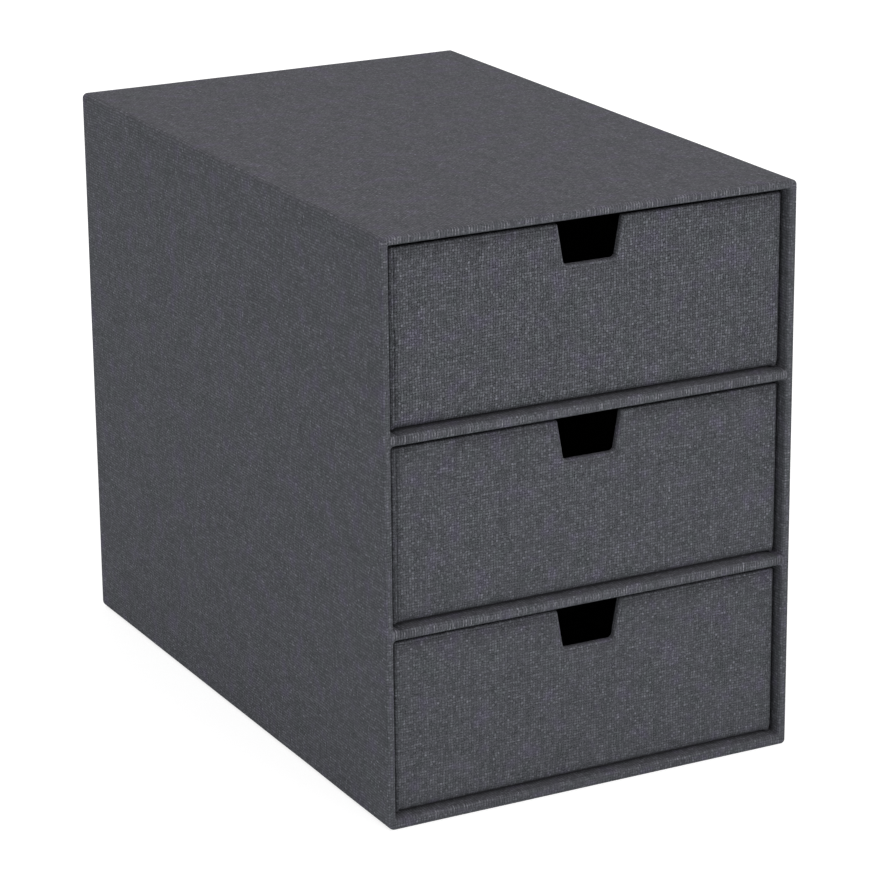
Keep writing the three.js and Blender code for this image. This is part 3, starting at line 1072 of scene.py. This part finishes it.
# Threads over the edges. Where the cloth turns over an edge its cross threads stand up as fine
# ribs, thick and thin by turns, painted lighter than the cloth as highlight, and paler still in
# patches of painted highlight.
rib_pitch = thread_pitch.x
rib_thickness = 0.28 * mm
rib_rise = 0.24 * mm
side_rib_rise = 0.1 * mm
floor_rib_rise = 0.05 * mm
drawer_rib_rise = 0.05 * mm
rib_start = math.radians(52)
rib_sweep = math.radians(113)
rib_steps = 8
rib_sides = 5
rib_end_share = 0.65
rib_seed = 11
rib_widths = (0.97, 1.02)
rib_heights = (0.96, 1.03)
rib_breadths = (0.7, 1.25)
arch_squareness = 3.5
# The rib tones are lighter than the cloth's own: painted highlight on threads standing over the edge.
yarn_dark = (0.078, 0.079, 0.090, 1)
yarn_pale_and_highlight = (0.160, 0.162, 0.179, 1)
yarn_tone_power = 0.7
rib_highlight_tone = (0.35, 0.36, 0.385, 1)
rib_highlight_power = 1.5
rib_highlight_patches_per_metre = 1000.0
rib_highlight_range = (0.5, 0.66)
twists_per_metre = 3500.0
twist_relief = 0.05 * mm
twist_strength = 0.5
yarn_roughness = (0.8, 0.98)


def rib_thread(tree, given):
    """One rib: a thread bent over a squared arch, and thinner towards its ends."""
    arch = add_node(
        tree, "GeometryNodeCurveArc",
        {"Resolution": rib_steps + 1, "Radius": given["Arch radius"],
         "Start Angle": rib_start, "Sweep Angle": rib_sweep}, mode="RADIUS")
    spot = add_node(tree, "GeometryNodeInputPosition").outputs[0]
    powers = []
    for side in add_node(tree, "ShaderNodeSeparateXYZ", {0: spot}).outputs[:2]:
        share = calc(tree, "DIVIDE", side, given["Arch radius"])
        powers.append(calc(tree, "POWER", times(tree, share, share), arch_squareness / 2))
    reach = calc(tree, "POWER", plus(tree, *powers), -1 / arch_squareness)
    squared = add_node(
        tree, "GeometryNodeSetPosition",
        {"Geometry": arch.outputs[0], "Position": scaled(tree, spot, reach)})
    along = add_node(tree, "GeometryNodeSplineParameter").outputs["Factor"]
    swell = calc(tree, "SINE", times(tree, along, math.pi))
    swell = plus(tree, times(tree, swell, 1 - rib_end_share), rib_end_share)
    sized = add_node(tree, "GeometryNodeSetCurveRadius", {"Curve": squared.outputs[0], "Radius": swell})
    profile = add_node(
        tree, "GeometryNodeCurvePrimitiveCircle",
        {"Resolution": rib_sides, "Radius": given["Thread thickness"]})
    thread = add_node(
        tree, "GeometryNodeCurveToMesh",
        {"Curve": sized.outputs[0], "Profile Curve": profile.outputs[0], "Fill Caps": True,
         "Scale": swell})
    return thread.outputs[0]


def rib_tree():
    """Ribs across an edge line: each line carries the way in which its crest points."""
    tree, given, result = new_group(
        "edge_ribs",
        {"Line": "NodeSocketGeometry", "Pitch": rib_pitch, "Arch radius": case_wall / 2,
         "Thread thickness": rib_thickness, "Seed": rib_seed, "Finish": "NodeSocketMaterial"},
        ["Ribs"], "GeometryNodeTree", "NodeSocketGeometry")
    tree.is_modifier = True

    def chance(limits, shift):
        """A value of its own for each rib."""
        seed = plus(tree, given["Seed"], shift)
        return add_node(
            tree, "FunctionNodeRandomValue", {2: limits[0], 3: limits[1], "Seed": seed}).outputs[1]

    curve = add_node(tree, "GeometryNodeMeshToCurve", {"Mesh": given["Line"]})
    points = add_node(
        tree, "GeometryNodeCurveToPoints", {"Curve": curve.outputs[0], "Length": given["Pitch"]},
        mode="LENGTH")
    crest = add_node(tree, "GeometryNodeInputNamedAttribute", {"Name": "crest"}, data_type="FLOAT_VECTOR")
    turn = add_node(
        tree, "FunctionNodeAxesToRotation",
        {0: points.outputs["Tangent"], 1: crest.outputs[0]}, primary_axis="Z", secondary_axis="Y")
    size = joined(tree, chance(rib_widths, 1), chance(rib_heights, 2), chance(rib_breadths, 3))
    ribs = add_node(
        tree, "GeometryNodeInstanceOnPoints",
        {"Points": points.outputs[0], "Instance": rib_thread(tree, given),
         "Rotation": turn.outputs[0], "Scale": size})
    toned = add_node(
        tree, "GeometryNodeStoreNamedAttribute",
        {"Geometry": ribs.outputs[0], "Name": "thread_tone", "Value": chance((0, 1), 4)},
        data_type="FLOAT", domain="INSTANCE")
    solid = add_node(tree, "GeometryNodeRealizeInstances", {"Geometry": toned.outputs[0]})
    smooth = add_node(tree, "GeometryNodeSetShadeSmooth", {"Geometry": solid.outputs[0]})
    finish = add_node(
        tree, "GeometryNodeSetMaterial", {"Geometry": smooth.outputs[0], "Material": given["Finish"]})
    tree.links.new(finish.outputs[0], result["Ribs"])
    return tree


def rib_material():
    """One thread: its own tone with painted highlight, paler in patches of painted highlight, with the twist
    of its yarn.
    """
    material, tree = new_material("edge_thread")
    tone = add_node(tree, "ShaderNodeAttribute", attribute_name="thread_tone").outputs["Fac"]
    place = add_node(tree, "ShaderNodeTexCoord").outputs["Object"]
    # Painted highlight: in patches the lighter ribs are paled towards a bright tone.
    highlight_patch = spread(tree, soft_noise(tree, place, rib_highlight_patches_per_metre)["Fac"], rib_highlight_range)
    lift = times(tree, calc(tree, "POWER", tone, rib_highlight_power), highlight_patch)
    yarn = mix_colour(tree, calc(tree, "POWER", tone, yarn_tone_power), yarn_dark, yarn_pale_and_highlight)
    twist = soft_noise(tree, place, twists_per_metre)["Fac"]
    show_face(
        tree, mix_colour(tree, lift, yarn, rib_highlight_tone), spread(tree, twist, after=yarn_roughness),
        cloth_gloss, cloth_sheen, twist, twist_relief, twist_strength)
    return material


edge_ribs = rib_tree()
edge_thread = rib_material()


def add_edge_ribs(name, body, lines, arch_radius):
    """Ribs along lines of (point, crest), made a plain mesh on its body."""
    points, edges, crests = [], [], []
    for line in lines:
        first = len(points)
        points += [point for point, crest in line]
        crests += [crest for point, crest in line]
        edges += [(first + i, first + i + 1) for i in range(len(line) - 1)]
    mesh = bpy.data.meshes.new(name)
    mesh.from_pydata(points, edges, [])
    layer = mesh.attributes.new("crest", "FLOAT_VECTOR", "POINT")
    layer.data.foreach_set("vector", [value for crest in crests for value in crest])
    ribs = new_object(name, mesh)
    modifier = ribs.modifiers.new("edge_ribs", "NODES")
    modifier.node_group = edge_ribs
    values = {"Arch radius": arch_radius, "Finish": edge_thread}
    for item in edge_ribs.interface.items_tree:
        if item.item_type == "SOCKET" and item.in_out == "INPUT" and item.name in values:
            modifier[item.identifier] = values[item.name]
    solid = bpy.data.meshes.new_from_object(ribs.evaluated_get(bpy.context.evaluated_depsgraph_get()))
    ribs.modifiers.clear()
    ribs.data = solid
    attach(ribs, body)


def wall_edge_line(corners):
    """The middle of the front edge between these corners of the case, with crests to the front."""
    half = case_wall / 2
    crest = Vector((0, -1, 0))
    line = edge_line(corners)
    return [(upright(reach, half, front_y + half), crest) for reach, along in line]


def level_edge_line(height):
    """The middle of the front edge of a board at this height, with crests to the front."""
    y = front_y + case_floor / 2
    return [(Vector((x, y, height)), Vector((0, -1, 0))) for x in (inner_x, -inner_x)]


def drawer_edge_line(body):
    """The middle of a drawer's top edge, down through the notch, with crests off the edge."""
    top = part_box(body + "_cover_cloth")[1].z
    half = drawer_wall / 2
    line = []
    for place, edge, across in drawer_stations(body):
        x, y, drop = place(half, half)
        outer_x, outer_y, outer_drop = place(0, half)
        crest = Vector((outer_x - x, outer_y - y, drop - outer_drop)).normalized()
        line.append((Vector((x, y, top - drop)), crest))
    return line


wall_arch = case_wall / 2 - rib_thickness
level_arch = case_floor / 2 - rib_thickness
drawer_arch = drawer_wall / 2 - rib_thickness
side_start, side_end = cover_low.z + case_floor, cover_high.z - case_wall
side_lines = [
    wall_edge_line([(cover_high.x, side_start), (cover_high.x, side_end)]),
    wall_edge_line([(cover_low.x, side_end), (cover_low.x, side_start)])]
top_line = wall_edge_line([
    (cover_high.x, side_end), (cover_high.x, cover_high.z, long_edge_round),
    (cover_low.x, cover_high.z, long_edge_round), (cover_low.x, side_end)])
floor_line = level_edge_line(cover_low.z + case_floor / 2 + rib_rise / 2)
shelf_lines = [level_edge_line((low.z + high.z) / 2) for low, high in shelf_boxes.values()]
add_edge_ribs("side_edge_threads", "case", side_lines, wall_arch + side_rib_rise)
add_edge_ribs("top_edge_threads", "case", [top_line], wall_arch + rib_rise)
add_edge_ribs("floor_edge_threads", "case", [floor_line], level_arch + floor_rib_rise)
add_edge_ribs("shelf_edge_threads", "case", shelf_lines, level_arch + rib_rise)
for drawer in drawer_cloths:
    add_edge_ribs(
        drawer + "_edge_threads", drawer, [drawer_edge_line(drawer)], drawer_arch + drawer_rib_rise)
